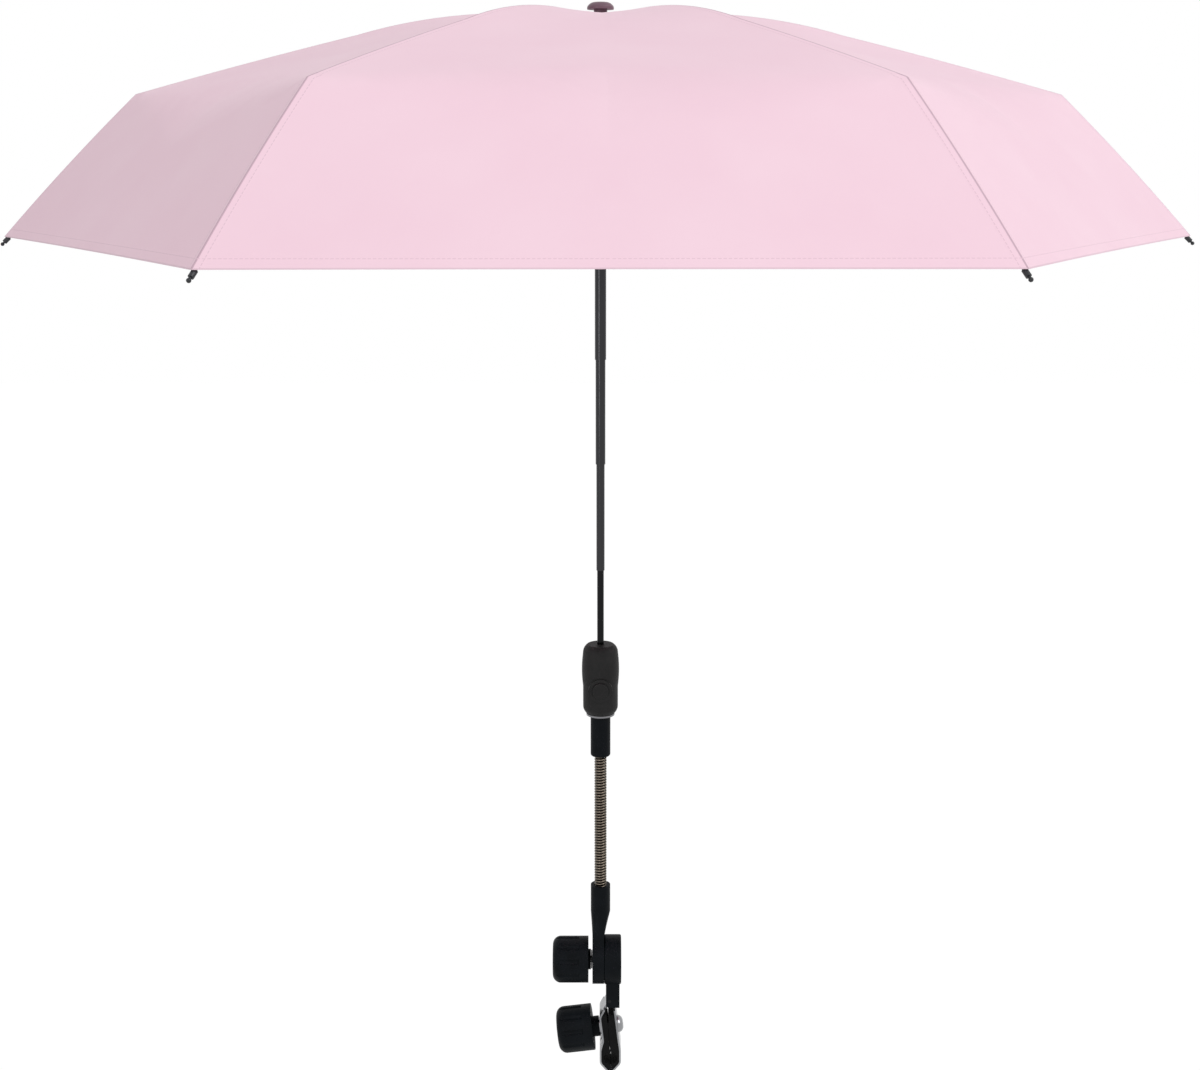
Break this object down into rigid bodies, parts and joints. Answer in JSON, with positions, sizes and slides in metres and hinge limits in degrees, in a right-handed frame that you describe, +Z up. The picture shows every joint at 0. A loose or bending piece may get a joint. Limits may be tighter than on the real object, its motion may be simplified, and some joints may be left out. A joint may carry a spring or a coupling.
{
  "type": "pram parasol",
  "caption": "Folding hexagonal parasol on a telescopic shaft with a bendable hose, a tilting arm and a screw clamp that grips a pram's tube.",
  "frame": {"origin": "centre of the tube that the clamp holds", "axes": "+Z up along the shaft, +X to the right as pictured, away from the knobs, and +Y away from the viewer along the held tube"},
  "size_m": [0.953, 0.8328, 0.9059],
  "materials": {
    "canopy_cloth": "matt coated polyester",
    "shaft_metal": "dark satin",
    "rib_metal": "dark satin",
    "tip_plastic": "satin",
    "black_plastic": "fine satin",
    "handle_plastic": "matt",
    "button_plastic": "satin",
    "bright_ring": "polished",
    "hose_steel": "satin",
    "core_rubber": "matt",
    "spring_steel": "bright",
    "jaw_steel": "zinc plated",
    "pad_rubber": "matt",
    "bolt_steel": "zinc plated"
  },
  "bodies": {
    "clamp": {"tilt_head": "black_plastic", "tilt_bolt": "bolt_steel", "fixed_jaw": "jaw_steel", "fixed_pad": "pad_rubber", "jaw_pin": "bolt_steel", "clamp_bolt": "bolt_steel"},
    "jaw": {"moving_jaw": "jaw_steel", "moving_pad": "pad_rubber"},
    "clamp_washer": {"clamp_washer": "bolt_steel"},
    "clamp_knob": {"clamp_knob": "black_plastic"},
    "tilt_washer": {"tilt_washer": "bolt_steel"},
    "tilt_knob": {"tilt_knob": "black_plastic"},
    "arm": {"tilt_arm": "black_plastic"},
    "hose": {"hose_coil": "hose_steel", "hose_core": "core_rubber"},
    "handle": {"upper_ferrule": "black_plastic", "handle": "handle_plastic", "handle_end_ring": "bright_ring", "button_spring": "spring_steel", "shaft_tube_4": "shaft_metal"},
    "button": {"handle_button": "button_plastic"},
    "tube_3": {"shaft_tube_3": "shaft_metal"},
    "tube_2": {"shaft_tube_2": "shaft_metal"},
    "head": {"shaft_tube_1": "shaft_metal", "top_notch": "black_plastic", "notch_wire": "rib_metal", "crown_cap": "black_plastic", "canopy": "canopy_cloth"},
    "runner": {"runner": "black_plastic"},
    "inner_rib_1": {"inner_rib_1": "rib_metal"},
    "stay_1": {"stay_1": "rib_metal"},
    "middle_rib_1": {"middle_rib_1": "rib_metal"},
    "outer_rib_1": {"outer_rib_1": "rib_metal", "rib_tip_1": "tip_plastic"},
    "inner_rib_2": {"inner_rib_2": "rib_metal"},
    "stay_2": {"stay_2": "rib_metal"},
    "middle_rib_2": {"middle_rib_2": "rib_metal"},
    "outer_rib_2": {"outer_rib_2": "rib_metal", "rib_tip_2": "tip_plastic"},
    "inner_rib_3": {"inner_rib_3": "rib_metal"},
    "stay_3": {"stay_3": "rib_metal"},
    "middle_rib_3": {"middle_rib_3": "rib_metal"},
    "outer_rib_3": {"outer_rib_3": "rib_metal", "rib_tip_3": "tip_plastic"},
    "inner_rib_4": {"inner_rib_4": "rib_metal"},
    "stay_4": {"stay_4": "rib_metal"},
    "middle_rib_4": {"middle_rib_4": "rib_metal"},
    "outer_rib_4": {"outer_rib_4": "rib_metal", "rib_tip_4": "tip_plastic"},
    "inner_rib_5": {"inner_rib_5": "rib_metal"},
    "stay_5": {"stay_5": "rib_metal"},
    "middle_rib_5": {"middle_rib_5": "rib_metal"},
    "outer_rib_5": {"outer_rib_5": "rib_metal", "rib_tip_5": "tip_plastic"},
    "inner_rib_6": {"inner_rib_6": "rib_metal"},
    "stay_6": {"stay_6": "rib_metal"},
    "middle_rib_6": {"middle_rib_6": "rib_metal"},
    "outer_rib_6": {"outer_rib_6": "rib_metal", "rib_tip_6": "tip_plastic"}
  },
  "joints": [
    {"name": "clamp_washer_travel", "type": "slide", "parent": "clamp", "child": "clamp_washer", "axis": [-0.9925, 0, -0.1219], "range_m": [0, 0.017]},
    {"name": "clamp_knob_turn", "type": "hinge", "parent": "clamp_washer", "child": "clamp_knob", "pos_m": [-0.00938, 0, 0.02435], "axis": [-0.9925, 0, -0.1219], "range_deg": [0, 6120]},
    {"name": "jaw_swing", "type": "hinge", "parent": "clamp", "child": "jaw", "pos_m": [-0.0008, 0, 0.054], "axis": [0, 1, 0], "range_deg": [0, 19]},
    {"name": "tilt_washer_travel", "type": "slide", "parent": "clamp", "child": "tilt_washer", "axis": [-1, 0, 0], "range_m": [0, 0.003]},
    {"name": "tilt_knob_turn", "type": "hinge", "parent": "tilt_washer", "child": "tilt_knob", "pos_m": [-0.017, 0, 0.088], "axis": [-1, 0, 0], "range_deg": [0, 1080]},
    {"name": "tilt", "type": "hinge", "parent": "clamp", "child": "arm", "pos_m": [-0.0106, 0, 0.088], "axis": [1, 0, 0], "range_deg": [-90, 90]},
    {"name": "hose_bend_fore", "type": "hinge", "parent": "arm", "child": "hose", "pos_m": [-0.0086, 0, 0.19023], "axis": [1, 0, 0], "range_deg": [-60, 60], "deforming": ["hose_coil", "hose_core"]},
    {"name": "hose_bend_side", "type": "hinge", "parent": "hose", "child": "handle", "pos_m": [-0.0086, 0, 0.24447], "axis": [0, 1, 0], "range_deg": [-60, 60]},
    {"name": "button_press", "type": "slide", "parent": "handle", "child": "button", "axis": [0, 1, 0], "range_m": [0, 0.0025], "stiffness_N_per_m": 400, "deforming": ["button_spring"]},
    {"name": "shaft_collapse", "type": "slide", "parent": "handle", "child": "tube_3", "axis": [0, 0, -1], "range_m": [0, 0.0634]},
    {"name": "tube_2_slide", "type": "slide", "parent": "tube_3", "child": "tube_2", "axis": [0, 0, -1], "range_m": [0, 0.08951]},
    {"name": "tube_1_slide", "type": "slide", "parent": "tube_2", "child": "head", "axis": [0, 0, -1], "range_m": [0, 0.08591]},
    {"name": "canopy_fold", "type": "slide", "parent": "head", "child": "runner", "axis": [0, 0, -1], "range_m": [0, 0.16535], "deforming": ["canopy"]},
    {"name": "inner_rib_fold_1", "type": "hinge", "parent": "head", "child": "inner_rib_1", "pos_m": [0.0039, 0.00019, 0.8755], "axis": [-0.0148, 0.9999, 0], "range_deg": [0, 83.01]},
    {"name": "stay_fold_1", "type": "hinge", "parent": "inner_rib_1", "child": "stay_1", "pos_m": [0.10393, 0.00167, 0.87315], "axis": [-0.0148, 0.9999, 0], "range_deg": [-143.91, 0]},
    {"name": "middle_rib_fold_1", "type": "hinge", "parent": "inner_rib_1", "child": "middle_rib_1", "pos_m": [0.17945, 0.00279, 0.86322], "axis": [-0.0148, 0.9999, 0], "range_deg": [-178.41, 0]},
    {"name": "outer_rib_fold_1", "type": "hinge", "parent": "middle_rib_1", "child": "outer_rib_1", "pos_m": [0.35083, 0.00533, 0.81529], "axis": [-0.0148, 0.9999, 0], "range_deg": [0, 144.15]},
    {"name": "inner_rib_fold_2", "type": "hinge", "parent": "head", "child": "inner_rib_2", "pos_m": [-0.00251, 0.01092, 0.8755], "axis": [-0.8733, 0.4871, 0], "range_deg": [0, 83.01]},
    {"name": "stay_fold_2", "type": "hinge", "parent": "inner_rib_2", "child": "stay_2", "pos_m": [0.04622, 0.09829, 0.87315], "axis": [-0.8733, 0.4871, 0], "range_deg": [-143.91, 0]},
    {"name": "middle_rib_fold_2", "type": "hinge", "parent": "inner_rib_2", "child": "middle_rib_2", "pos_m": [0.08301, 0.16425, 0.86322], "axis": [-0.8733, 0.4871, 0], "range_deg": [-178.41, 0]},
    {"name": "outer_rib_fold_2", "type": "hinge", "parent": "middle_rib_2", "child": "outer_rib_2", "pos_m": [0.1665, 0.31394, 0.81529], "axis": [-0.8733, 0.4871, 0], "range_deg": [0, 144.15]},
    {"name": "inner_rib_fold_3", "type": "hinge", "parent": "head", "child": "inner_rib_3", "pos_m": [-0.01501, 0.01073, 0.8755], "axis": [-0.8585, -0.5128, 0], "range_deg": [0, 83.01]},
    {"name": "stay_fold_3", "type": "hinge", "parent": "inner_rib_3", "child": "stay_3", "pos_m": [-0.06631, 0.09662, 0.87315], "axis": [-0.8585, -0.5128, 0], "range_deg": [-143.91, 0]},
    {"name": "middle_rib_fold_3", "type": "hinge", "parent": "inner_rib_3", "child": "middle_rib_3", "pos_m": [-0.10504, 0.16146, 0.86322], "axis": [-0.8585, -0.5128, 0], "range_deg": [-178.41, 0]},
    {"name": "outer_rib_fold_3", "type": "hinge", "parent": "middle_rib_3", "child": "outer_rib_3", "pos_m": [-0.19293, 0.30861, 0.81529], "axis": [-0.8585, -0.5128, 0], "range_deg": [0, 144.15]},
    {"name": "inner_rib_fold_4", "type": "hinge", "parent": "head", "child": "inner_rib_4", "pos_m": [-0.0211, -0.00019, 0.8755], "axis": [0.0148, -0.9999, 0], "range_deg": [0, 83.01]},
    {"name": "stay_fold_4", "type": "hinge", "parent": "inner_rib_4", "child": "stay_4", "pos_m": [-0.12113, -0.00167, 0.87315], "axis": [0.0148, -0.9999, 0], "range_deg": [-143.91, 0]},
    {"name": "middle_rib_fold_4", "type": "hinge", "parent": "inner_rib_4", "child": "middle_rib_4", "pos_m": [-0.19665, -0.00279, 0.86322], "axis": [0.0148, -0.9999, 0], "range_deg": [-178.41, 0]},
    {"name": "outer_rib_fold_4", "type": "hinge", "parent": "middle_rib_4", "child": "outer_rib_4", "pos_m": [-0.36803, -0.00533, 0.81529], "axis": [0.0148, -0.9999, 0], "range_deg": [0, 144.15]},
    {"name": "inner_rib_fold_5", "type": "hinge", "parent": "head", "child": "inner_rib_5", "pos_m": [-0.01469, -0.01092, 0.8755], "axis": [0.8733, -0.4871, 0], "range_deg": [0, 83.01]},
    {"name": "stay_fold_5", "type": "hinge", "parent": "inner_rib_5", "child": "stay_5", "pos_m": [-0.06342, -0.09829, 0.87315], "axis": [0.8733, -0.4871, 0], "range_deg": [-143.91, 0]},
    {"name": "middle_rib_fold_5", "type": "hinge", "parent": "inner_rib_5", "child": "middle_rib_5", "pos_m": [-0.10021, -0.16425, 0.86322], "axis": [0.8733, -0.4871, 0], "range_deg": [-178.41, 0]},
    {"name": "outer_rib_fold_5", "type": "hinge", "parent": "middle_rib_5", "child": "outer_rib_5", "pos_m": [-0.1837, -0.31394, 0.81529], "axis": [0.8733, -0.4871, 0], "range_deg": [0, 144.15]},
    {"name": "inner_rib_fold_6", "type": "hinge", "parent": "head", "child": "inner_rib_6", "pos_m": [-0.00219, -0.01073, 0.8755], "axis": [0.8585, 0.5128, 0], "range_deg": [0, 83.01]},
    {"name": "stay_fold_6", "type": "hinge", "parent": "inner_rib_6", "child": "stay_6", "pos_m": [0.04911, -0.09662, 0.87315], "axis": [0.8585, 0.5128, 0], "range_deg": [-143.91, 0]},
    {"name": "middle_rib_fold_6", "type": "hinge", "parent": "inner_rib_6", "child": "middle_rib_6", "pos_m": [0.08784, -0.16146, 0.86322], "axis": [0.8585, 0.5128, 0], "range_deg": [-178.41, 0]},
    {"name": "outer_rib_fold_6", "type": "hinge", "parent": "middle_rib_6", "child": "outer_rib_6", "pos_m": [0.17573, -0.30861, 0.81529], "axis": [0.8585, 0.5128, 0], "range_deg": [0, 144.15]}
  ],
  "couplings": [
    {"joint": "clamp_washer_travel", "follows": "clamp_knob_turn", "m_per_rad": 0.00015915},
    {"joint": "jaw_swing", "follows": "clamp_knob_turn", "ratio": 0.0031046},
    {"joint": "tilt_washer_travel", "follows": "tilt_knob_turn", "m_per_rad": 0.00015915},
    {"joint": "tube_2_slide", "follows": "shaft_collapse", "ratio": 1.4117},
    {"joint": "tube_1_slide", "follows": "shaft_collapse", "ratio": 1.3549},
    {"joint": "inner_rib_fold_1", "follows": "canopy_fold", "rad_per_m": 8.761},
    {"joint": "stay_fold_1", "follows": "canopy_fold", "rad_per_m": -15.189},
    {"joint": "middle_rib_fold_1", "follows": "canopy_fold", "rad_per_m": -18.831},
    {"joint": "outer_rib_fold_1", "follows": "canopy_fold", "rad_per_m": 15.215},
    {"joint": "inner_rib_fold_2", "follows": "canopy_fold", "rad_per_m": 8.761},
    {"joint": "stay_fold_2", "follows": "canopy_fold", "rad_per_m": -15.189},
    {"joint": "middle_rib_fold_2", "follows": "canopy_fold", "rad_per_m": -18.831},
    {"joint": "outer_rib_fold_2", "follows": "canopy_fold", "rad_per_m": 15.215},
    {"joint": "inner_rib_fold_3", "follows": "canopy_fold", "rad_per_m": 8.761},
    {"joint": "stay_fold_3", "follows": "canopy_fold", "rad_per_m": -15.189},
    {"joint": "middle_rib_fold_3", "follows": "canopy_fold", "rad_per_m": -18.831},
    {"joint": "outer_rib_fold_3", "follows": "canopy_fold", "rad_per_m": 15.215},
    {"joint": "inner_rib_fold_4", "follows": "canopy_fold", "rad_per_m": 8.761},
    {"joint": "stay_fold_4", "follows": "canopy_fold", "rad_per_m": -15.189},
    {"joint": "middle_rib_fold_4", "follows": "canopy_fold", "rad_per_m": -18.831},
    {"joint": "outer_rib_fold_4", "follows": "canopy_fold", "rad_per_m": 15.215},
    {"joint": "inner_rib_fold_5", "follows": "canopy_fold", "rad_per_m": 8.761},
    {"joint": "stay_fold_5", "follows": "canopy_fold", "rad_per_m": -15.189},
    {"joint": "middle_rib_fold_5", "follows": "canopy_fold", "rad_per_m": -18.831},
    {"joint": "outer_rib_fold_5", "follows": "canopy_fold", "rad_per_m": 15.215},
    {"joint": "inner_rib_fold_6", "follows": "canopy_fold", "rad_per_m": 8.761},
    {"joint": "stay_fold_6", "follows": "canopy_fold", "rad_per_m": -15.189},
    {"joint": "middle_rib_fold_6", "follows": "canopy_fold", "rad_per_m": -18.831},
    {"joint": "outer_rib_fold_6", "follows": "canopy_fold", "rad_per_m": 15.215}
  ]
}
